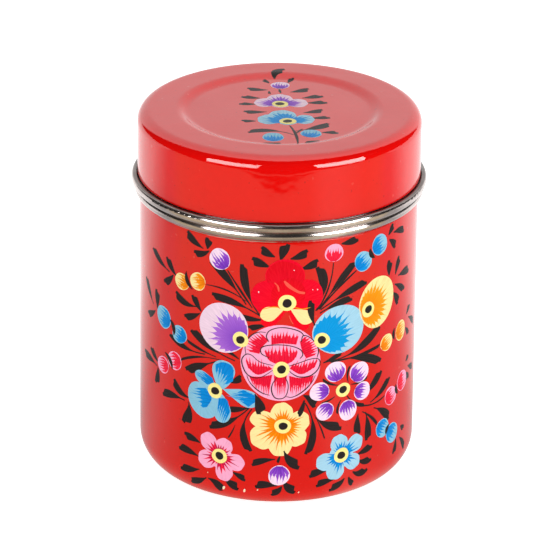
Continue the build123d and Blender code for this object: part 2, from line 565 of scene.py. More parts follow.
def body_coat():
    """Lacquer from under the bead, down the wall and round the corner to its foot."""
    heights = np.concatenate([WALL_TOP - EDGE_LINES, np.linspace(WALL_FROM, CORNER_R, WALL_LINES)])
    falls = np.linspace(0, radians(CORNER_ENDS), CORNER_LINES)[1:]
    outer = [(BODY_R + feathered(k), z) for k, z in enumerate(heights)]
    inner = [(BODY_R - SINK, z) for z in heights]
    for fall in falls:
        thick = COAT * min(1, (falls[-1] - fall) * 5 + 0.1)
        for line, r in ((outer, CORNER_R + thick), (inner, CORNER_R - SINK)):
            line.append((BODY_R - CORNER_R + r * cos(fall), CORNER_R - r * sin(fall)))

    def unevenness(points, rings):
        for ring in rings[3 : len(heights)]:
            x, y, z = points[ring].T
            grow = 1 + hand_dip(x, z) * above_corner(z) / BODY_R
            points[ring, 0], points[ring, 1] = x * grow, y * grow

    return revolved(outer, inner, unevenness, "body_enamel", "canister", body_lacquer)


def lid_coat():
    """Lacquer from above the curl, up the skirt, over the shoulder and across the top."""
    shoulder_r, shoulder_z = LID_WALL_R - LID_SHOULDER_R, LID_TOP - LID_SHOULDER_R
    heights = np.concatenate([LID_WALL_BOTTOM + EDGE_LINES, np.linspace(SKIRT_FROM, shoulder_z, SKIRT_LINES)])
    outer = [(LID_WALL_R + feathered(k), z) for k, z in enumerate(heights)]
    inner = [(LID_WALL_R - SINK, z) for z in heights]
    for rise in np.linspace(0, pi / 2, SHOULDER_LINES)[1:]:
        for line, r in ((outer, LID_SHOULDER_R + COAT), (inner, LID_SHOULDER_R - SINK)):
            line.append((shoulder_r + r * cos(rise), shoulder_z + r * sin(rise)))
    top_from = len(outer)
    for r in np.concatenate([np.linspace(*run) for run in (RIM_FLAT, PANEL_STEP, PANEL_FLAT)]):
        outer.append((r, float(lid_height(r)) + COAT))
        inner.append((r, float(lid_height(r)) - SINK))

    def unevenness(points, rings):
        for ring in rings[top_from + 2 : len(outer)]:
            x, y, _ = points[ring].T
            points[ring, 2] += hand_dip(x, y)

    return revolved(outer, inner, unevenness, "lid_enamel", "lid", lid_lacquer)


body_coat()
lid_coat()

# ---- Motifs


def bent(start, end, bend, samples):
    """A smooth line from start to end, bowed to its left by bend times its length."""
    a, b = np.asarray(start, float), np.asarray(end, float)
    t = np.linspace(0, 1, samples)[:, None]
    left = np.array([-(b - a)[1], (b - a)[0]])
    return a + (b - a) * t + left * bend * 4 * t * (1 - t)


def curve(through, samples):
    """A smooth line through these places, evenly spaced by their number."""
    p = np.asarray(through, float)
    p = np.vstack([2 * p[0] - p[1], p, 2 * p[-1] - p[-2]])
    at = np.linspace(0, len(through) - 1, samples)
    k = np.minimum(at.astype(int), len(through) - 2)
    t = (at - k)[:, None]
    a, b, c, d = (p[k + i] for i in range(4))
    return 0.5 * (2 * b + (c - a) * t + (2 * a - 5 * b + 4 * c - d) * t**2 + (3 * b - a - 3 * c + d) * t**3)


def around(centre, bearings, reach):
    """Places round centre, at these bearings and distances."""
    return centre + np.stack([np.cos(bearings), np.sin(bearings)], -1) * reach[:, None]


# Shares of a leaf's length: where it is widest, and its longest stem
LEAF_SHOULDER = 0.74
LEAF_STEM = 0.32


def leaf(art, s0, h0, s1, h1, width, bend=0.0, corner=0, lift=LEAF_LIFT):
    """A one-stroke leaf: a thin start that swells and ends on a slant.

    corner is +1 or -1 when the slanted end's point lies on the leaf's left or right edge.
    """
    spine = bent((s0, h0), (s1, h1), bend, 24)
    length = hypot(s1 - s0, h1 - h0)
    corner = corner or art.rng.choice((-1, 1))
    stem = min(LEAF_STEM, max(0.0, (length - 6.0) / 28))
    u = np.linspace(0, 1, len(spine))
    grow = np.clip((u - stem) / (LEAF_SHOULDER - stem), 0, 1)
    thin = min(0.3, 0.42 / width)
    fall = np.clip((u - LEAF_SHOULDER) / 0.26, 0, 1)
    swell = (thin + (1 - thin) * np.sin(pi / 2 * grow) ** 1.15) * (1 - 0.14 * fall**1.4)
    slant = min(0.24, 0.5 * width / length)
    close = np.clip((u - 1 + slant) / slant, 0, 1)
    keep = swell * (1 - 0.06 * close)
    closing = swell - (swell + keep) * 0.88 * close
    left, right = (keep, closing) if corner > 0 else (closing, keep)
    half = width * LEAF_FULLNESS / 2
    art.stroke(spine, half * left, half * right, lift, (INK, INK))


def pen(art, spine, width, tint=INK, lift=LINE_LIFT):
    """A fine line along spine that swells a little where the hand pressed."""
    u = np.linspace(0, 1, len(spine))
    phase = art.rng.random() * 6
    press = (0.2 + 0.8 * np.sin(pi * (u * 0.92 + 0.04)) ** 0.4) * (1 + 0.18 * np.sin(8 * u + phase))
    half = width / 2 * press
    art.stroke(spine, half, half, lift, (tint, tint))


def vein(art, start, end, width, bend):
    """A fine dark line among the leaves."""
    pen(art, bent(start, end, bend, 16), width, lift=LEAF_LIFT)


def oval(art, centre, rx, ry, turn=0.0, wobble=0.02, spacing=0.45):
    """Outline of a hand-painted oval."""
    count = max(20, int(pi * (rx + ry) / spacing))
    t = np.linspace(0, 2 * pi, count, endpoint=False)
    phases = [art.rng.random() * 2 * pi for _ in range(3)]
    grow = 1 + wobble * sum(np.sin(k * t + p) / (k - 1) for k, p in zip((2, 3, 5), phases))
    x, y = rx * grow * np.cos(t), ry * grow * np.sin(t)
    c, s = cos(radians(turn)), sin(radians(turn))
    return np.stack([centre[0] + c * x - s * y, centre[1] + s * x + c * y], -1)


def speck(art, s, h, size, slim, turn, tints):
    """A small drop of paint, slim times as wide as it is tall."""
    outline = oval(art, (s, h), size * slim, size, turn, wobble=0.08, spacing=0.2)
    art.film(outline, (s, h), LINE_LIFT, tints)


def eye(art, centre, radius=2.6):
    """The cream ring with a dark centre that every open flower has."""
    ring = oval(art, centre, radius, radius, wobble=0.03, spacing=0.3)
    art.film(ring, centre, RING_LIFT, (CREAM, CREAM))
    off = (centre[0] + art.rng.uniform(-0.15, 0.15), centre[1] + art.rng.uniform(-0.15, 0.15))
    pupil = oval(art, off, radius * 0.54, radius * 0.52, wobble=0.04, spacing=0.25)
    art.film(pupil, off, PUPIL_LIFT, (INK, INK))


def half_width(u, full, belly):
    """Half of a petal's width, as a share of its widest, at u from its root to its tip."""
    return np.sin(pi * np.clip(u, 0, 1) ** belly) ** full


def petal_frame(root, tip):
    """Turns (across, along) of a petal into a place on the surface."""
    root, tip = np.asarray(root, float), np.asarray(tip, float)
    ahead = tip - root
    aside = np.array([ahead[1], -ahead[0]]) / hypot(*ahead)
    return lambda across, along: root + np.outer(across, aside) + np.outer(along, ahead)


def petal(art, root, tip, width, tints, belly, full=0.55, lift=PETAL_LIFT):
    """A rounded petal from root to tip: belly moves its widest part outwards, full blunts it."""
    place = petal_frame(root, tip)
    u = 0.5 - 0.5 * np.cos(np.linspace(0, pi, 26))
    waver = [art.rng.random() * 6 for _ in range(2)]
    w = width / 2 * half_width(u, full, belly)
    up = place(w * (1 + 0.05 * np.sin(5 * u + waver[0])), u)
    down = place(-w[::-1] * (1 + 0.05 * np.sin(5 * u[::-1] + waver[1])), u[::-1])
    outline = np.concatenate([up[:-1], down[:-1]])
    widest = 0.5 ** (1 / belly)
    art.film(outline, place([0], [widest])[0], lift, tints, root=root)


def flick(art, start, end, width, tint, lift):
    """A quick mark: widest where the brush lands, drawn out to nothing."""
    spine = bent(start, end, art.rng.uniform(-0.05, 0.05), 8)
    half = width / 2 * (1.02 - np.linspace(0, 1, len(spine)) ** 1.3)
    art.stroke(spine, half, half, lift, (tint, tint))


def combed(art, grid, tints, pale, root):
    """Shading over a grid of places, with single hairs' marks at the brush points it ends in.

    Deep marks run past the shading, and a few pale ones run into it.
    """
    grid = np.array(grid)
    art.sheet(grid, SHADE_LIFT, tints, root)
    for k in range(1, grid.shape[1] - 1):
        column = grid[:, k]
        out = column[-1] - column[-2]
        if k % 2:
            end = column[-1] + out * art.rng.uniform(0.3, 1.6)
            flick(art, column[-2], end, HAIR * 1.3, tints[1], DEEP_HAIR)
            flick(art, column[0], column[-1], HAIR * 1.6, tints[0] * 0.88, ROOT_HAIR)
        elif art.rng.random() < 0.45:
            back = art.rng.uniform(0.15, 0.35)
            end = column[-1] * (1 - back) + column[0] * back
            flick(art, column[-1] + out * 0.2, end, HAIR, pale, PALE_HAIR)


def shade(art, base, tips, teeth, tints, pale):
    """Combed shading that grows from the line through base towards the line through tips."""
    count = 2 * teeth + 1
    low, high = curve(base, count), curve(tips, count)
    reach = np.full(count, 0.94)
    for k in range(1, count - 1):
        reach[k] = art.rng.uniform(0.95, 1.25) if k % 2 else 1 - 0.32 * art.rng.uniform(0.6, 1.2)
    ends = low + (high - low) * reach[:, None]
    grid = [low * (1 - share) + ends * share for share in np.linspace(0, 1, COMB_ROWS)]
    combed(art, grid, tints, pale, low[teeth])


BUD_TEETH = 6
BUD_INSET = 0.25


def bud(art, s, h, radius, facing, pale, deep, cover):
    """A round bud: pale, with deep shading at the stem's side that combs out towards facing.

    The shading covers the share cover of the bud's length.
    """
    a = radians(facing)
    step = np.array([cos(a), sin(a)]) * radius
    centre = np.array([s, h])
    root, tip = centre - step, centre + step
    stretch = art.rng.uniform(0.93, 1.05)
    outline = oval(art, centre, radius, radius * stretch, facing, 0.03, 0.35)
    art.film(outline, centre, PETAL_LIFT, (pale, pale), root=root)
    place = petal_frame(root, tip)
    inset = BUD_INSET / hypot(tip[0] - root[0], tip[1] - root[1])
    across = np.linspace(1, -1, 2 * BUD_TEETH + 1)
    reach = [art.rng.uniform(1.0, 1.35) if k % 2 else art.rng.uniform(0.66, 0.92) for k in range(len(across))]
    ends = np.minimum(cover * (np.array(reach) - 0.12 * across**2), 1 - inset)
    grid = []
    for share in np.linspace(0, 1, COMB_ROWS):
        u = ends * share + inset * (1 - share)
        half = radius * stretch * half_width(u, 0.5, 1.0) - BUD_INSET
        grid.append(place(across * np.maximum(half, 0.02), u))
    combed(art, grid, deep, pale, root)


def cup(art, s, h, length, width, facing):
    """A small dark crescent that holds a bud, bowed towards facing."""
    a = radians(facing + 90)
    half = np.array([cos(a), sin(a)]) * length / 2
    spine = bent(np.array([s, h]) + half, np.array([s, h]) - half, 0.16, 14)
    u = np.linspace(0, 1, len(spine))
    w = width / 2 * (np.sin(pi * u) ** 0.8 + 0.02)
    art.stroke(spine, w, w, OVER_LIFT, (INK, INK))


def reach_table(away):
    """Bearings in rising order and the distance at each, of places seen from an eye."""
    bearing = np.arctan2(away[:, 1], away[:, 0])
    order = np.argsort(bearing)
    return bearing[order], np.hypot(*away.T)[order]


BIG_POINTS = 25
BIG_SPREAD = radians(150)


def big_petal(art, centre, rx, ry, pupil, pale, deep):
    """A large round petal with its eye near one edge and shading that rays out from the eye."""
    outline = oval(art, centre, rx, ry, wobble=0.018)
    art.film(outline, centre, PETAL_LIFT, (pale, pale), root=pupil)
    eye_at, centre = np.asarray(pupil, float), np.asarray(centre, float)
    towards = atan2(*(centre - eye_at)[::-1])
    bearings = towards + BIG_SPREAD * np.linspace(-1, 1, 2 * BIG_POINTS + 1)
    reach = np.interp((bearings + pi) % (2 * pi) - pi, *reach_table(outline - eye_at), period=2 * pi) - 0.3
    farthest = reach.max()
    rays = []
    for k, a in enumerate(bearings):
        near = 1 - reach[k] / farthest
        tooth = art.rng.uniform(0.04, 0.16) if k % 2 else -0.07
        share = 0.62 + 0.5 * near + tooth * (1 - 0.8 * near)
        rays.append(eye_at + max(0.4, min(share, 0.97) * reach[k]) * np.array([cos(a), sin(a)]))
    ahead = 0.3 * np.array([cos(towards), sin(towards)])
    art.film(rays, eye_at + ahead, SHADE_LIFT, deep, root=eye_at)
    for k in range(1, 2 * BIG_POINTS, 2):
        if reach[k] <= 0.5 * farthest:
            continue
        ray = (rays[k] - eye_at) / hypot(*(rays[k] - eye_at))
        end = rays[k] + ray * art.rng.uniform(0.3, 1.6)
        flick(art, rays[k] - ray * 1.5, end, HAIR * 1.4, deep[1], DEEP_HAIR)
        if art.rng.random() < 0.5:
            end = rays[k + 1] - ray * art.rng.uniform(0.6, 1.6)
            flick(art, rays[k + 1] + ray * 0.4, end, HAIR, pale, PALE_HAIR)
    eye(art, pupil)


def lobed(lobes, least):
    """Outline round the origin of overlapping oval petals: (right, up, half width, half height)."""
    bearings = np.linspace(0, 2 * pi, 150, endpoint=False)
    reach = np.full(len(bearings), least)
    for x, y, rx, ry in lobes:
        cx, cy, dx, dy = x / rx, y / ry, np.cos(bearings) / rx, np.sin(bearings) / ry
        a, b, c = dx**2 + dy**2, cx * dx + cy * dy, cx**2 + cy**2 - 1
        inside = b**2 - a * c
        far = (b + np.sqrt(np.maximum(inside, 0))) / a
        reach = np.where((inside > 0) & (far > reach), far, reach)
    return bearings, reach


# How far the open flowers reach at least, between what shares of the reach their shading's
# valleys and peaks end, and how large their eyes are
BODY_ROSETTE = {"least": 4.4, "valley": (0.38, 0.5), "peak": (0.55, 0.84), "eye_radius": 2.6}
LID_ROSETTE = {"least": 3.2, "valley": (0.54, 0.64), "peak": (0.7, 0.92), "eye_radius": 2.7}


def rosette(art, centre, lobes, pale, deep, dark, points, least, valley, peak, eye_radius):
    """An open flower of overlapping petals, its shading rayed out from the eye."""
    centre = np.asarray(centre, float)
    bearings, reach = lobed(lobes, least)
    reach *= 1 + 0.012 * np.sin(17 * bearings + art.rng.random() * 6)
    art.film(around(centre, bearings, reach), centre, PETAL_LIFT, (pale, pale), grain=0.8)
    fine = np.linspace(0, 2 * pi, 2 * points, endpoint=False) + art.rng.random()
    there = np.interp(fine % (2 * pi), bearings, reach, period=2 * pi)
    shares = [art.rng.uniform(*(peak if k % 2 else valley)) for k in range(len(fine))]
    art.film(around(centre, fine, np.array(shares) * there), centre, SHADE_LIFT, deep, grain=0.8)
    for a, far in zip(fine[1::2], there[1::2]):
        ray = np.array([cos(a), sin(a)])
        end = centre + ray * far * art.rng.uniform(peak[0] - 0.06, peak[1] + 0.04)
        flick(art, centre + ray * 2.2, end, art.rng.uniform(0.45, 0.8), dark, OVER_LIFT)
    eye(art, centre, eye_radius)


# ---- The bouquet on the body
# Places are (round the wall, up the wall) from the front of the base.

# Shading of the rose: the lines it grows from and towards, and its number of brush points
ROSE_SHADES = (
    (
        ((-3.5, 55.4), (-2.0, 53.4), (1.5, 52.3), (4.6, 53.2), (6.2, 55.2)),
        ((-4.0, 57.0), (-1.6, 57.6), (1.4, 57.9), (4.2, 57.6), (6.6, 56.8)), 10,
    ),
    (((-1.8, 59.3), (1.7, 59.7), (6.1, 59.2)), ((-1.9, 62.5), (2.0, 63.0), (6.8, 62.2)), 9),
    (((-2.7, 60.6), (-4.6, 58.4), (-5.6, 55.9)), ((-4.6, 62.6), (-8.4, 60.8), (-8.8, 56.4)), 9),
    (((7.2, 60.2), (7.9, 57.2), (9.3, 54.2)), ((8.8, 61.8), (11.9, 59.0), (12.5, 55.2)), 9),
    (((-1.4, 50.8), (-6.0, 48.6), (-9.2, 50.8)), ((-2.3, 51.6), (-5.8, 52.6), (-10.0, 53.3)), 9),
    (((4.1, 50.9), (7.8, 48.8), (12.2, 50.9)), ((4.9, 52.3), (8.7, 52.6), (13.1, 53.2)), 9),
    (((-0.9, 48.6), (1.3, 48.9), (3.2, 48.6)), ((-0.7, 44.6), (1.1, 43.4), (2.9, 44.4)), 6),
    (((-8.8, 47.8), (-5.0, 48.0), (-1.4, 48.8)), ((-7.8, 45.6), (-5.0, 43.9), (-2.3, 43.4)), 10),
    (((3.9, 48.4), (7.6, 47.5), (11.9, 48.1)), ((4.3, 42.9), (7.3, 43.5), (11.2, 45.6)), 10),
)
ROSE_LINES = (
    (
        (-2.4, 54.6), (-4.9, 56.0), (-5.0, 58.0), (-2.6, 59.0), (1.5, 59.2), (5.0, 58.6), (7.5, 57.3),
        (8.2, 55.6), (7.3, 54.2),
    ),
    (
        (-2.6, 60.2), (-3.4, 62.0), (-2.6, 63.9), (-0.3, 65.0), (2.2, 65.2), (5.0, 64.6), (7.4, 63.5),
        (8.6, 62.0),
    ),
    ((-3.6, 63.4), (-5.9, 63.4), (-8.3, 62.0), (-9.8, 59.8), (-10.2, 57.6), (-9.9, 55.4)),
    ((7.6, 60.0), (8.3, 62.2), (10.4, 61.4), (12.6, 58.9), (13.3, 56.4), (12.9, 54.2)),
    (
        (-1.2, 52.0), (-5.4, 53.1), (-8.0, 55.2), (-9.8, 55.4), (-11.2, 53.6), (-10.9, 51.0), (-9.4, 48.4),
        (-6.8, 47.4), (-4.2, 48.2), (-1.0, 50.6),
    ),
    (
        (3.8, 51.8), (7.1, 52.8), (10.4, 53.8), (13.0, 53.8), (13.9, 52.4), (13.1, 49.9), (10.6, 48.0),
        (7.1, 47.9), (4.6, 49.4), (3.6, 50.8),
    ),
    (
        (0.2, 48.1), (-1.3, 45.6), (-1.6, 43.2), (-0.7, 41.0), (0.9, 40.4), (2.6, 41.0), (3.5, 43.0),
        (3.6, 45.6), (2.6, 48.1),
    ),
    ((-9.6, 48.0), (-8.6, 45.8), (-6.8, 43.8), (-4.6, 42.3), (-2.2, 41.6)),
    ((12.4, 48.1), (11.3, 45.8), (9.4, 43.6), (7.0, 41.8), (4.8, 40.9), (3.0, 41.2)),
)
ROSE_AT, ROSE_EYE = (1.2, 52.8), (1.4, 50.6)

art = Brushwork(body_skin, 11)
art.film(oval(art, ROSE_AT, 12.8, 13.2, wobble=0.008), ROSE_AT, PETAL_LIFT, (PINK, PINK), root=ROSE_EYE)
for base, tips, teeth in ROSE_SHADES:
    shade(art, base, tips, teeth, (DEEP_ROSE, ROSE), PINK)
for through in ROSE_LINES:
    pen(art, curve(through, 40), 0.34)
eye(art, ROSE_EYE, 2.7)
art.make("rose_paint", "canister")

SCARLET_AT, SCARLET_ROOT, SCARLET_EYE = (2.9, 76.0), (3.0, 73.0), (3.0, 73.7)
SCARLET_LOBES = ((-0.6, 6.6, 6.3, 6.0), (-6.2, -0.4, 5.2, 5.6), (6.6, -0.2, 5.0, 5.6), (0, 0, 5.5, 5.5))
# Its upper petals in the order they are painted: place, size and tints
SCARLET_PETALS = (
    ((2.3, 82.3), (6.0, 5.7), (CRIMSON, DEEP_SCARLET)), ((-3.5, 75.4), (4.9, 5.3), (SCARLET, CRIMSON)),
    ((9.7, 75.7), (4.6, 5.2), (SCARLET, CRIMSON)), ((3.4, 76.6), (5.6, 5.4), (SCARLET, DEEP_SCARLET)),
)
# Streaks of other colours on it: places, width and tint
SCARLET_STREAKS = (
    (((2.0, 81.2), (3.6, 79.4), (6.4, 77.4), (8.6, 76.8)), 1.0, FOLD),
    (((-1.0, 80.6), (0.0, 79.4), (0.4, 77.6)), 0.5, FOLD),
    (((-4.6, 71.4), (-1.8, 72.2), (0.4, 72.2)), 0.3, AMBER),
    (((5.6, 72.0), (8.0, 71.4), (10.6, 71.8)), 0.3, AMBER),
    (((3.6, 69.4), (4.4, 67.4), (5.0, 66.4)), 0.25, FOLD),
)
SCARLET_LAYER = 0.006

art = Brushwork(body_skin, 12)
outline = around(SCARLET_AT, *lobed(SCARLET_LOBES, 5.0))
art.film(outline, SCARLET_AT, PETAL_LIFT, (SCARLET, CRIMSON), root=SCARLET_ROOT)
for root, tip, width in (((2.8, 71.4), (-5.0, 66.2), 4.6), ((3.8, 70.8), (9.6, 64.4), 4.6)):
    petal(art, root, tip, width, (SCARLET, SCARLET), 1.5)
for root, tip, width in (((2.4, 71.8), (-5.4, 68.7), 4.8), ((4.0, 71.6), (11.2, 67.0), 4.8)):
    petal(art, root, tip, width, (YELLOW, YELLOW), 1.7, 0.6, SHADE_LIFT)
for layer, (where, size, tints) in enumerate(SCARLET_PETALS, 1):
    outline = oval(art, where, *size, wobble=0.03)
    art.film(outline, where, PETAL_LIFT + SCARLET_LAYER * layer, tints, root=SCARLET_ROOT)
for through, width, tint in SCARLET_STREAKS:
    pen(art, curve(through, 20), width, tint, OVER_LIFT)
for s, h, size in ((-6.0, 77.2, 0.26), (5.1, 84.8, 0.2), (12.7, 77.7, 0.22), (11.1, 77.8, 0.18)):
    speck(art, s, h, size, 0.7, 10, (WHITE_LILAC, WHITE_LILAC))
eye(art, SCARLET_EYE, 2.8)
art.make("scarlet_flower_paint", "canister")

for seed, name, where, size, pupil, pale, deep in (
    (13, "lilac_petal_paint", (-17.6, 63.4), (8.3, 8.7), (-11.7, 60.3), LILAC, (VIOLET, ORCHID)),
    (14, "sky_petal_paint", (20.4, 62.8), (9.0, 8.4), (14.4, 60.0), SKY, (BLUE, BRIGHT_BLUE)),
    (15, "amber_petal_paint", (35.4, 68.8), (7.9, 8.7), (31.2, 67.3), YELLOW, (DEEP_AMBER, AMBER)),
):
    art = Brushwork(body_skin, seed)
    big_petal(art, where, *size, pupil, pale, deep)
    art.make(name, "canister")

BLUE_AT, BLUE_EYE = (-25.0, 36.5), (-20.3, 41.0)
# Its petals' root, tip, width, belly and fullness, and the lines its shading grows between
BLUE_PETALS = (
    ((-18.4, 41.8), (-16.7, 52.0), 7.8, 1.5, 0.42), ((-17.6, 42.1), (-5.5, 38.9), 5.9, 2.0, 0.5),
    ((-20.2, 42.5), (-27.7, 45.8), 4.8, 1.3, 0.5), ((-18.4, 40.4), (-17.6, 30.2), 6.0, 1.4, 0.42),
)
BLUE_SHADES = (
    (
        ((-20.2, 50.2), (-17.4, 51.5), (-14.2, 50.2), (-14.1, 45.4)),
        ((-20.1, 47.6), (-17.8, 46.2), (-16.4, 43.8)),
    ),
    (((-10.6, 42.8), (-6.0, 40.4), (-8.9, 37.0)), ((-12.4, 41.9), (-13.1, 40.2), (-11.2, 38.5))),
    (((-21.2, 45.2), (-20.9, 43.4), (-23.2, 42.5)), ((-24.2, 46.6), (-26.2, 45.4), (-25.4, 43.7))),
    (((-23.7, 41.2), (-21.5, 38.1), (-23.2, 34.5)), ((-26.9, 40.4), (-27.3, 37.6), (-24.9, 33.9))),
    (((-19.0, 38.6), (-16.2, 38.6), (-15.0, 34.4)), ((-19.4, 34.6), (-18.1, 32.2), (-16.4, 31.4))),
)

art = Brushwork(body_skin, 16)
art.film(oval(art, BLUE_AT, 6.4, 5.3, 130), BLUE_AT, PETAL_LIFT, (PALE_BLUE, PALE_BLUE))
for root, tip, width, belly, full in BLUE_PETALS:
    petal(art, root, tip, width, (PALE_BLUE, PALE_BLUE), belly, full)
for base, tips in BLUE_SHADES:
    shade(art, base, tips, 6, (DEEP_BLUE, BLUE), PALE_BLUE)
eye(art, BLUE_EYE)
art.make("blue_flower_paint", "canister")

art = Brushwork(body_skin, 23)
for s, h, size in (
    (-17.3, 6.8, 0.8), (-10.2, 6.9, 0.7), (-5.8, 7.7, 0.35), (7.6, 6.7, 0.35), (-22.8, 11.4, 0.22),
):
    speck(art, s, h, size, 0.5, -18, (CREAM, WHITE_LILAC))
art.make("paint_drips", "canister")

# Tints of the buds: pale, then the shading's at the stem and at its points
VIOLET_BUD = (PALE_VIOLET, (VIOLET, PURPLE))
PINK_BUD = (PINK, (ROSE, ROSE))
BLUE_BUD = (PALE_BLUE, (DEEP_BLUE, BLUE))
AMBER_BUD = (YELLOW, (DEEP_AMBER, AMBER))

# The violet flower is a ring of buds that face away from one eye: (round, up, radius)
VIOLET_EYE = (22.1, 41.4)
VIOLET_RING = (
    (19.3, 48.3, 3.6), (28.2, 46.3, 3.6), (29.5, 39.3, 3.3), (24.0, 33.9, 3.5), (15.8, 34.9, 3.1),
    (13.9, 42.1, 3.3),
)

art = Brushwork(body_skin, 17)
for s, h, radius in VIOLET_RING:
    facing = degrees(atan2(h - VIOLET_EYE[1], s - VIOLET_EYE[0]))
    bud(art, s, h, radius, facing, *VIOLET_BUD, 0.54)
eye(art, VIOLET_EYE, 2.5)
art.make("violet_flower_paint", "canister")

# Seed, piece, place, lobes, tints and number of brush points
ROSETTES = (
    (
        18, "yellow_flower_paint", (2.1, 30.8),
        (
            (-0.3, 4.4, 3.6, 3.9), (5.3, 1.4, 3.3, 3.8), (4.3, -3.9, 3.4, 3.4), (-0.8, -6.8, 3.8, 3.9),
            (-6.3, -3.9, 4.2, 4.4), (-6.6, 2.2, 3.9, 3.1),
        ),
        YELLOW, (DEEP_AMBER, AMBER), DEEP_AMBER, 34,
    ),
    (
        19, "pink_flower_paint", (-18.6, 18.2),
        (
            (-4.0, 4.4, 3.0, 3.1), (1.6, 3.7, 2.9, 2.9), (5.5, -1.4, 3.0, 3.0), (1.6, -5.3, 3.0, 3.3),
            (-4.5, -2.0, 3.3, 3.2),
        ),
        PINK, (ROSE, ROSE), BERRY, 24,
    ),
    (
        20, "pale_blue_flower_paint", (21.9, 18.3),
        (
            (-0.8, 4.1, 3.1, 3.4), (5.2, 3.2, 2.9, 3.1), (4.2, -3.1, 2.9, 2.9), (-2.1, -5.3, 3.2, 3.0),
            (-5.8, -1.4, 3.0, 3.1),
        ),
        SKY, (BLUE, BRIGHT_BLUE), DEEP_BLUE, 28,
    ),
)
for seed, name, where, lobes, pale, deep, dark, points in ROSETTES:
    art = Brushwork(body_skin, seed)
    rosette(art, where, lobes, pale, deep, dark, points, **BODY_ROSETTE)
    art.make(name, "canister")

# Place, radius, facing and tints
BUDS = (
    (-18.9, 86.8, 3.7, 130, VIOLET_BUD), (18.1, 89.5, 3.1, 85, PINK_BUD), (1.1, 13.3, 3.5, 268, VIOLET_BUD),
    (-26.9, 77.4, 3.0, 190, AMBER_BUD), (-33.4, 75.6, 3.0, 170, AMBER_BUD),
    (40.2, 53.1, 3.1, 25, AMBER_BUD), (48.6, 54.3, 3.3, 15, AMBER_BUD), (-34.5, 56.9, 3.2, 160, BLUE_BUD),
    (-42.4, 60.3, 3.8, 160, BLUE_BUD), (28.9, 84.5, 3.4, 35, BLUE_BUD), (35.8, 88.4, 3.5, 20, BLUE_BUD),
    (39.1, 23.1, 3.2, 330, BLUE_BUD), (44.5, 19.5, 3.5, 320, BLUE_BUD), (-36.8, 46.9, 3.2, 200, PINK_BUD),
    (-42.8, 43.4, 3.1, 190, PINK_BUD), (43.2, 33.2, 3.2, 20, PINK_BUD), (50.6, 35.8, 3.5, 10, PINK_BUD),
)
# Place, length, width and facing
CUPS = (
    (-30.2, 76.9, 6.2, 1.5, 205), (-38.0, 58.2, 5.4, 1.6, 20), (-39.8, 45.8, 6.2, 1.5, 40),
    (32.6, 86.4, 4.2, 1.6, 210), (44.6, 54.6, 4.0, 1.4, 180), (47.0, 34.2, 4.0, 1.5, 200),
    (41.9, 21.6, 3.6, 1.5, 150),
)

art = Brushwork(body_skin, 21)
for s, h, radius, facing, tints in BUDS:
    bud(art, s, h, radius, facing, *tints, 0.6)
for entry in CUPS:
    cup(art, *entry)
art.make("bud_paint", "canister")

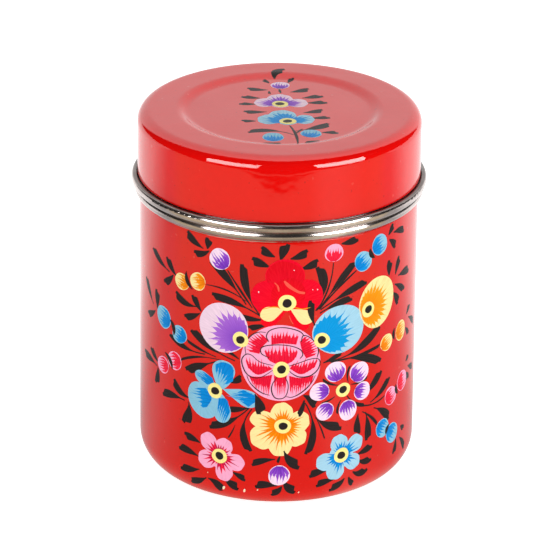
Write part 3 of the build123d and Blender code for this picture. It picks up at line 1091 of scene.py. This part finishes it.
# Leaves: start, end, width, bend, the corner that carries the point, and the layer. Where the
# last of these are left out, the spine is straight and either corner may carry the point.
LEAVES = (
    # over the scarlet flower
    (0.8, 88.0, 2.6, 94.0, 3.0, 0.02, -1), (-1.0, 89.4, -5.6, 92.2, 2.6, 0.05, -1),
    (3.9, 88.7, 9.6, 90.9, 2.6, -0.05, 1), (-2.6, 85.9, -8.4, 88.0, 2.8, 0.0, -1),
    (7.3, 85.1, 13.0, 87.3, 2.6, -0.04, 1),
    # spray at the upper left
    (-5.3, 68.8, -10.9, 86.2, 2.6, 0.09, 1), (-10.0, 72.5, -21.8, 85.8, 2.7, -0.04),
    (-5.2, 68.8, -21.6, 73.9, 2.5, -0.07), (-4.2, 67.7, -12.3, 68.3, 1.9, 0.04),
    (-3.6, 65.9, -9.2, 64.4, 1.9), (-4.9, 70.6, -6.1, 74.2, 1.3), (-24.8, 89.2, -31.4, 93.2, 2.6, 0.05),
    (-23.3, 89.4, -22.7, 93.2, 2.6, 0.0, 1), (-22.6, 88.9, -28.4, 86.9, 2.2, 0.1, -1),
    # sprig with the amber buds, left
    (-39.2, 77.1, -48.8, 82.3, 2.3, 0.06), (-36.0, 76.8, -40.2, 82.0, 2.4, 0.08, 1),
    (-37.4, 76.6, -42.0, 72.4, 2.4, 0.06, -1),
    # beside the lilac petal
    (-26.9, 68.7, -36.4, 70.9, 2.5, 0.12), (-25.5, 67.4, -28.6, 72.4, 2.2, 0.04, 1),
    (-26.0, 66.6, -32.2, 63.6, 2.3, 0.04, -1),
    # sprig with the blue buds, left
    (-49.0, 62.4, -54.8, 69.8, 2.4, 0.03), (-46.2, 61.8, -46.3, 68.4, 2.8, 0.0, 1),
    (-47.6, 60.6, -53.2, 57.4, 2.2, 0.06, -1), (-20.0, 52.8, -31.2, 55.8, 1.1, 0.02),
    (-24.0, 52.9, -39.0, 55.7, 2.2, 0.08), (-12.2, 53.4, -18.3, 56.4, 1.3, -0.04),
    (-13.5, 52.6, -29.2, 60.3, 2.7, 0.05), (-19.4, 51.4, -31.4, 45.1, 2.9, -0.02),
    (-18.0, 52.0, -33.9, 48.2, 0.9, -0.08),
    # sprig with the pink buds, left
    (-45.8, 43.2, -50.8, 46.6, 2.3, 0.04), (-46.4, 41.5, -56.8, 42.3, 2.6, -0.04),
    (-45.9, 41.4, -46.9, 35.2, 2.7, 0.06, -1),
    # round the blue flower
    (-29.6, 35.9, -37.4, 40.1, 2.6, 0.14), (-32.1, 34.4, -43.1, 33.5, 2.7, -0.05),
    (-30.4, 34.4, -32.2, 26.2, 3.6, 0.1, -1), (-15.3, 44.9, -11.2, 47.4, 2.2, -0.1, 1),
    (-6.9, 41.7, -4.9, 34.8, 3.2, 0.06, -1, OVER_LIFT), (-9.0, 36.6, -16.0, 35.3, 2.0, 0.03, 1),
    (-8.6, 36.8, -22.4, 28.2, 2.6, 0.08, 1), (-7.8, 36.4, -8.4, 21.2, 2.4, -0.17, 1),
    (-13.3, 30.2, -15.6, 25.2, 0.5, 0.03),
    # round the yellow flower
    (8.6, 41.3, 12.8, 37.0, 2.8, 0.1), (8.9, 39.6, 7.0, 34.2, 1.6, 0.05, 0, OVER_LIFT),
    (9.2, 38.6, 10.0, 20.3, 2.4, 0.13, -1), (12.0, 34.6, 15.9, 25.1, 0.5, 0.03),
    (12.6, 33.2, 21.8, 28.6, 3.0, -0.1, -1), (-0.2, 19.0, -7.9, 17.0, 2.2, -0.05, 1),
    (2.6, 22.0, 7.8, 16.4, 3.2, -0.12, -1, OVER_LIFT), (1.4, 20.4, 0.5, 17.7, 0.9),
    # spray at the upper right
    (12.2, 70.4, 13.0, 85.6, 3.0, -0.14, 1), (13.2, 70.8, 25.8, 85.3, 2.5, 0.02),
    (13.8, 70.6, 30.3, 77.4, 2.5, 0.04), (13.6, 69.4, 24.8, 72.9, 2.3, 0.05),
    (12.0, 65.4, 10.9, 74.1, 2.2, 0.08, 0, OVER_LIFT), (20.6, 92.2, 26.6, 92.9, 2.4, -0.04),
    (40.0, 90.4, 42.6, 93.3, 2.2), (42.6, 90.5, 49.4, 89.2, 2.3, 0.05), (40.4, 88.7, 44.1, 85.2, 2.4, 0.05),
    # outside the amber petal
    (40.8, 76.2, 41.2, 81.4, 2.8, 0.04, 1), (44.3, 75.4, 46.7, 80.8, 2.4, 0.03),
    (46.0, 74.4, 54.0, 73.9, 2.8, 0.03), (44.0, 72.1, 50.2, 67.9, 2.2, 0.04),
    (43.3, 69.4, 46.5, 64.7, 2.6, 0.05),
    # middle right
    (15.0, 52.0, 21.6, 54.8, 1.6, -0.03), (17.0, 52.2, 36.2, 60.2, 2.9, -0.09),
    (19.0, 51.9, 36.8, 53.2, 1.2, -0.02), (17.5, 51.8, 37.2, 47.2, 2.8, 0.1), (52.4, 53.8, 55.4, 50.4, 1.9),
    (55.0, 56.5, 61.6, 52.2, 2.2, 0.03), (53.0, 58.2, 55.8, 60.8, 2.2),
    # round the violet flower
    (28.6, 37.4, 37.4, 44.2, 2.7, -0.1, -1), (33.0, 34.2, 41.9, 40.4, 2.2, -0.08),
    (28.0, 31.6, 28.0, 24.3, 2.6, -0.05), (31.0, 31.4, 32.2, 21.0, 2.7, 0.05),
    (29.6, 31.9, 36.4, 25.4, 1.1, 0.05), (34.6, 31.8, 42.7, 25.5, 2.8, 0.06),
    (20.2, 43.4, 14.8, 46.3, 0.9, 0.08), (24.0, 43.6, 24.6, 49.4, 0.8, 0.12),
    (25.0, 42.7, 31.6, 43.6, 0.9, -0.08), (19.2, 39.6, 14.6, 37.8, 0.7, 0.05),
    (21.4, 38.0, 20.2, 33.2, 0.8, -0.1), (23.6, 39.0, 30.8, 34.0, 1.3, -0.12),
    (53.6, 37.2, 56.4, 34.0, 2.4, 0.04), (55.6, 38.9, 61.8, 36.2, 2.2), (53.4, 41.4, 55.8, 42.8, 2.0),
    (47.0, 16.3, 45.8, 11.2, 2.2, 0.05), (49.6, 15.7, 53.8, 10.3, 2.2, 0.05), (50.2, 19.5, 53.0, 17.6, 2.0),
    # round the pale blue flower
    (28.2, 17.2, 34.0, 18.8, 2.5, -0.04, -1), (28.4, 14.9, 33.8, 14.2, 2.4, -0.14, -1),
    (17.4, 13.9, 10.7, 12.8, 2.5, -0.05, 1), (19.4, 10.2, 13.1, 9.0, 2.4, -0.04, 1),
    (23.2, 9.8, 18.0, 6.4, 3.1, 0.1, 1), (24.7, 9.8, 27.0, 6.2, 1.9, -0.05),
    (26.3, 11.4, 31.9, 11.2, 2.6, -0.22, -1),
    # round the lowest bud
    (0.6, 9.5, -6.7, 9.4, 2.7, -0.06), (2.0, 9.4, -1.6, 6.1, 2.6, 0.1, 1),
    (2.6, 11.2, 6.6, 7.2, 3.2, -0.1, -1),
    # round the pink flower
    (-25.8, 21.2, -32.2, 22.2, 2.5, -0.05), (-26.0, 16.1, -34.6, 17.4, 2.6, -0.04),
    (-26.0, 11.7, -33.8, 10.4, 2.6, 0.05, 1), (-23.4, 9.3, -30.4, 5.8, 2.7, 0.04, 1),
    (-22.7, 9.3, -18.0, 5.0, 3.3, 0.16, -1), (-16.7, 10.4, -12.0, 7.6, 3.2, -0.03, -1),
    (-13.9, 13.2, -9.6, 11.2, 2.0, 0.0, -1),
)
# Veins: start, end, width and bend
VEINS = (
    ((-8.0, 71.5), (-16.2, 83.4), 0.7, 0.0), ((-10.0, 73.6), (-23.6, 77.1), 0.5, -0.09),
    ((12.6, 70.4), (17.9, 86.2), 0.55, -0.07), ((13.4, 70.8), (26.3, 82.0), 0.7, 0.04),
    ((28.6, 34.4), (39.8, 34.4), 0.6, -0.1),
)

art = Brushwork(body_skin, 22)
for entry in LEAVES:
    leaf(art, *entry)
for entry in VEINS:
    vein(art, *entry)
art.make("leaf_paint", "canister")

# ---- The posy on the lid
# Places are (to the right, away from the viewer) from the lid's axis.

LID_ROSETTES = (
    (
        (0.1, 6.3), ((-0.2, 4.6, 4.2, 4.5), (-5.0, 1.2, 3.4, 3.9), (5.6, 1.2, 3.3, 3.8)),
        LILAC, (VIOLET, ORCHID), VIOLET,
    ),
    (
        (2.6, -9.2), ((-1.8, 4.9, 4.5, 5.0), (-5.9, 1.6, 3.8, 4.3), (5.3, 1.8, 3.2, 4.1)),
        SKY, (BLUE, BRIGHT_BLUE), DEEP_BLUE,
    ),
)
LID_BUDS = (
    (0.0, 23.8, 3.2, 90, VIOLET_BUD), (10.0, -19.9, 3.4, 80, BLUE_BUD), (-2.0, -23.4, 3.7, 95, BLUE_BUD),
)

art = Brushwork(lid_skin, 31)
for entry in LID_ROSETTES:
    rosette(art, *entry, 30, **LID_ROSETTE)
for s, h, radius, facing, tints in LID_BUDS:
    bud(art, s, h, radius, facing, *tints, 0.56)
art.make("lid_flower_paint", "lid")

LID_LEAVES = (
    (-1.8, 29.6, 1.6, 35.0, 3.6, 0.24, 1), (-3.6, 25.8, -5.6, 28.8, 1.7), (2.6, 26.4, 3.9, 30.3, 1.7),
    (-4.0, 19.4, -10.8, 20.2, 2.8, 0.04), (-6.4, 11.6, -12.2, 13.4, 2.7, 0.06),
    (-7.8, 6.0, -13.0, 6.8, 2.4, 0.04), (-4.2, -0.8, -11.6, -1.2, 2.9, 0.02),
    (-7.6, -9.2, -12.2, -9.4, 2.3), (3.2, 17.6, 9.6, 20.4, 3.2, -0.04, 1),
    (7.2, 12.2, 13.6, 14.6, 3.1, -0.04), (8.6, 7.8, 15.1, 8.8, 3.0, -0.03),
    (7.6, -1.2, 14.0, 1.2, 3.1, -0.04), (9.8, -6.4, 16.0, -5.0, 2.6), (4.6, -18.0, 16.0, -11.2, 3.4, -0.06),
    (13.4, -18.8, 18.6, -18.5, 2.6), (4.4, -21.0, -10.2, -18.9, 3.0, -0.16), (12.6, -26.0, 8.0, -27.6, 1.5),
    (-5.0, -28.6, 0.5, -28.8, 1.1), (-3.6, 18.4, -3.4, 15.6, 0.9),
)
LID_VEINS = (
    ((3.2, -13.0), (5.8, -29.0), 0.9, 0.04), ((-0.3, 20.4), (0.2, 16.6), 0.8, 0.0),
    ((5.4, -19.5), (7.2, -16.0), 0.8, 0.0),
)

art = Brushwork(lid_skin, 32)
for entry in LID_LEAVES:
    leaf(art, *entry)
for entry in LID_VEINS:
    vein(art, *entry)
art.make("lid_leaf_paint", "lid")

# ---- Woven wire cloth of the sieve

WIRE_R = (warp_high.z - warp_low.z) / 2
MESH_R = (warp_high.x - warp_low.x) / 2
MESH_PITCH = 1.5
WIRES = int(2 * MESH_R / MESH_PITCH)
CLOTH_Z = (weft_low.z + warp_high.z) / 2
WEAVE = (warp_high.z - weft_low.z) / 2 - WIRE_R
WIRE_SIDES = 6
STEPS_PER_PITCH = 5


def woven_wires(name, node, along_x):
    """Wires that pass over and under those of the other set."""
    points, faces = [], []
    for i in range(WIRES):
        side = (i - (WIRES - 1) / 2) * MESH_PITCH
        reach = sqrt(MESH_R**2 - side**2)
        run = np.linspace(-reach, reach, max(4, int(2 * reach / MESH_PITCH * STEPS_PER_PITCH)))
        phase = pi * (run / MESH_PITCH + (WIRES - 1) / 2 + i)
        height = CLOTH_Z + WEAVE * np.cos(phase) * (1 if along_x else -1)
        slope = np.gradient(height, run)
        rings = []
        for x, z, rise in zip(run, height, slope):
            tilt = 1 / hypot(1, rise)
            ring = []
            for k in range(WIRE_SIDES):
                a = 2 * pi * k / WIRE_SIDES
                out, up = WIRE_R * cos(a), WIRE_R * sin(a)
                spot = (x - up * rise * tilt, side + out, z + up * tilt)
                ring.append(len(points))
                points.append(spot if along_x else (-spot[1], spot[0], spot[2]))
            rings.append(ring)
        for a, b in zip(rings, rings[1:]):
            faces += strip(b, a)
        faces += [rings[0], rings[-1][::-1]]
    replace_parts(make_object(name, points, faces, "sieve", wire_steel), node)


woven_wires("woven_warp", "mesh_warp_wires", True)
woven_wires("woven_weft", "mesh_weft_wires", False)

SHEET_STEEL = (
    ("canister_body", bright_steel), ("lid", bright_steel), ("sieve_frame", inner_steel),
    ("mesh_clamp_ring", inner_steel),
)
for node, material in SHEET_STEEL:
    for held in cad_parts[node].material_slots:
        held.material = material

# ---- Studio

MIDDLE = (cad_low + cad_high) / 2

FLOOR_SPREAD = 3.0
UNDER_FOOT = 0.0002
FLOOR_FRONT = -0.36

# How bright the floor is to the camera, and to the rays that light other things
FLOOR_GLOW = 0.9
BOUNCE = 0.46
# What reflections find of the floor, painted into its glow: painted shade close to the tin, warm from
# WARM_FROM outwards, lit from beside the tin and bright behind it
BLACK, WHITE = np.zeros(3), np.ones(3)
DIM_FLOOR, WARM_FLOOR = np.array([0.42, 0.37, 0.28]), np.array([0.84, 0.73, 0.52])
LIT_FLOOR, BACK_FLOOR = WHITE * 0.62, WHITE * 1.42
WARM_FROM = (0.09, 0.21)
LIT_FROM = (-0.05, 0.0)
GLOW_BEHIND = (0.03, 0.14)
# A painted reflection of a white board to the right, and the bearings between which it comes and goes
BOARD_REFLECTION, BOARD_REFLECTION_SHARE = np.array([1.3, 1.3, 1.1]), 0.55
BOARD_REFLECTION_FROM, BOARD_REFLECTION_TO = (0.38, 0.62), (0.8, 1.2)
# A painted dark reflection near the front edge, as of a stand: its depth, its half width and half depth, and
# its soft edge
DARK_REFLECTION_AT = -0.336
DARK_REFLECTION = (0.19, 0.0095)
DARK_REFLECTION_EDGE = (0.75, 1.15)


def floor_material():
    """Pale paper with a faint mottle, glowing: evenly white to the camera, an even bounce glow, and painted
    reflections.
    """
    n = Nodes(bpy.data.materials.new("pale_floor"))
    place = n.place()
    x, y, _ = n.parts(place)
    rays = n.node("ShaderNodeLightPath").outputs
    mottle = n.mix(n.ramp(n.noise(place, scale=60.0), 0.3, 0.7), srgb(236, 236, 236), srgb(230, 230, 231))
    n.set(Base_Color=n.mix(rays["Is Glossy Ray"], mottle, BLACK), Roughness=0.9, Specular_IOR_Level=0.0)
    # Painted reflections: the colour the floor glows with where glossy rays find it
    mirrored = n.mix(n.ramp(n.measure("LENGTH", place), *WARM_FROM), DIM_FLOOR, WARM_FLOOR)
    bearing = n.maths("ARCTAN2", x, n.maths("MULTIPLY", y, -1.0))
    board_reflection = n.maths("MULTIPLY", n.ramp(bearing, *BOARD_REFLECTION_FROM), n.ramp(bearing, *BOARD_REFLECTION_TO, 1.0, 0.0))
    mirrored = n.mix(n.maths("MULTIPLY", board_reflection, BOARD_REFLECTION_SHARE), mirrored, BOARD_REFLECTION)
    mirrored = n.mix(n.ramp(y, *LIT_FROM), mirrored, LIT_FLOOR)
    mirrored = n.mix(n.ramp(y, *GLOW_BEHIND), mirrored, BACK_FLOOR)
    aside = n.maths("DIVIDE", x, DARK_REFLECTION[0])
    ahead = n.maths("DIVIDE", n.maths("SUBTRACT", y, DARK_REFLECTION_AT), DARK_REFLECTION[1])
    away = n.measure("LENGTH", n.node("ShaderNodeCombineXYZ", X=aside, Y=ahead).outputs[0])
    mirrored = n.mix(n.ramp(away, *DARK_REFLECTION_EDGE), BLACK, mirrored)
    unseen = n.mix(rays["Is Glossy Ray"], WHITE * BOUNCE, mirrored)
    glow = n.mix(rays["Is Camera Ray"], unseen, WHITE * FLOOR_GLOW)
    n.set(Emission_Color=glow, Emission_Strength=1.0)
    one_sided = n.node("ShaderNodeMixShader", Fac=n.node("ShaderNodeNewGeometry").outputs["Backfacing"])
    n.link(n.shader.outputs[0], one_sided.inputs[1])
    n.link(n.node("ShaderNodeBsdfTransparent").outputs[0], one_sided.inputs[2])
    n.link(one_sided.outputs[0], n.tree.nodes["Material Output"].inputs["Surface"])
    return n.owner


def lay_floor():
    mesh = bpy.data.meshes.new("floor")
    left, right, front, back = -FLOOR_SPREAD, FLOOR_SPREAD, FLOOR_FRONT, FLOOR_SPREAD
    corners = ((left, front), (right, front), (right, back), (left, back))
    mesh.from_pydata([(x, y, -UNDER_FOOT) for x, y in corners], [], [(0, 1, 2, 3)])
    mesh.materials.append(floor_material())
    floor = bpy.data.objects.new("floor", mesh)
    bpy.context.scene.collection.objects.link(floor)


# Beyond the floor the camera finds a white backdrop, and the shading a fill that is stronger
# from the front and the right, and a little from either side
BACKDROP = 1.05
FILL = 0.95
FILL_SLOPE = (0.36, -0.4, -0.43)
SIDE_FILL = 0.12
# Reflections find a dark room in front, and beyond it a lit ceiling that dims to a pale wall
ROOM = 0.03
CEILING, WALL = 2.4, 1.2
LIT_SLOPE = (0.0, 1.0, 0.9)
LIT_STARTS, LIT_FULL = 0.47, 0.56
SIDE_DARK = 0.45


def studio_world():
    n = Nodes(bpy.data.worlds.new("studio"))
    bpy.context.scene.world = n.owner
    way = n.node("ShaderNodeTexCoord").outputs["Generated"]
    rays = n.node("ShaderNodeLightPath").outputs
    across, depth, _ = n.parts(way)
    beside = n.maths("MULTIPLY", n.maths("POWER", across, 2.0), SIDE_FILL)
    slope = n.ramp(n.measure("DOT_PRODUCT", way, FILL_SLOPE), -1.0, 1.0, FILL - 1.0, FILL + 1.0)
    fill = n.maths("ADD", slope, beside)
    lit = n.ramp(depth, 0.0, 0.9, CEILING, WALL)
    sides = n.maths("MULTIPLY", n.maths("ABSOLUTE", across), SIDE_DARK)
    beyond = n.maths("SUBTRACT", n.measure("DOT_PRODUCT", way, LIT_SLOPE), sides)
    reflected = n.ramp(beyond, LIT_STARTS, LIT_FULL, ROOM, lit)
    unseen = n.ramp(rays["Is Glossy Ray"], 0.0, 1.0, fill, reflected)
    background = n.tree.nodes["Background"].inputs
    background["Color"].default_value = (1, 1, 1, 1)
    n.link(n.ramp(rays["Is Camera Ray"], 0.0, 1.0, unseen, BACKDROP), background["Strength"])


SOFTBOX_AWAY = 1.0
SOFTBOX_WIDTH = 0.74


def softbox(name, azimuth, elevation, height, radiance):
    """A softbox seen only as a reflection; the world's fill gives the shading.

    Azimuth 0 is the camera's side, positive to its right.
    """
    lamp = bpy.data.lights.new(name, "AREA")
    lamp.shape, lamp.size, lamp.size_y = "RECTANGLE", SOFTBOX_WIDTH, height
    lamp.energy = radiance * pi * SOFTBOX_WIDTH * height
    holder = bpy.data.objects.new(name, lamp)
    bpy.context.scene.collection.objects.link(holder)
    a, e = radians(azimuth), radians(elevation)
    out = Vector((sin(a) * cos(e), -cos(a) * cos(e), sin(e)))
    holder.location = MIDDLE + out * SOFTBOX_AWAY
    holder.rotation_euler = out.to_track_quat("Z", "Y").to_euler()
    holder.visible_diffuse = False


lay_floor()
studio_world()
softbox("softbox_left", azimuth=-37, elevation=17.5, height=0.46, radiance=11.0)
softbox("softbox_right", azimuth=49, elevation=15, height=0.48, radiance=12.5)

# Camera: seen from the front, a little above, with a long lens and a slight roll. It stands
# back from CAMERA_LEVEL and aims at AIM.
CAMERA_ELEVATION = radians(23.29)
CAMERA_DISTANCE = 1.301
CAMERA_LEVEL = Vector((0, 0, 0.0568))
CAMERA_ROLL = radians(0.68)
SENSOR_WIDTH = 36.0
LENS_WIDTHS = 7.096
AIM = Vector((0.0007, 0.002, 0.0615))

lens = bpy.data.cameras.new("camera")
lens.sensor_width = SENSOR_WIDTH
lens.lens = LENS_WIDTHS * SENSOR_WIDTH
camera = bpy.data.objects.new("camera", lens)
bpy.context.scene.collection.objects.link(camera)
back = Vector((0, -cos(CAMERA_ELEVATION), sin(CAMERA_ELEVATION)))
camera.location = CAMERA_LEVEL + back * CAMERA_DISTANCE
look = (AIM - camera.location).to_track_quat("-Z", "Y").to_matrix()
camera.rotation_euler = (look @ Matrix.Rotation(CAMERA_ROLL, 3, "Z")).to_euler()
bpy.context.scene.camera = camera
bpy.context.scene.view_settings.view_transform = "Standard"
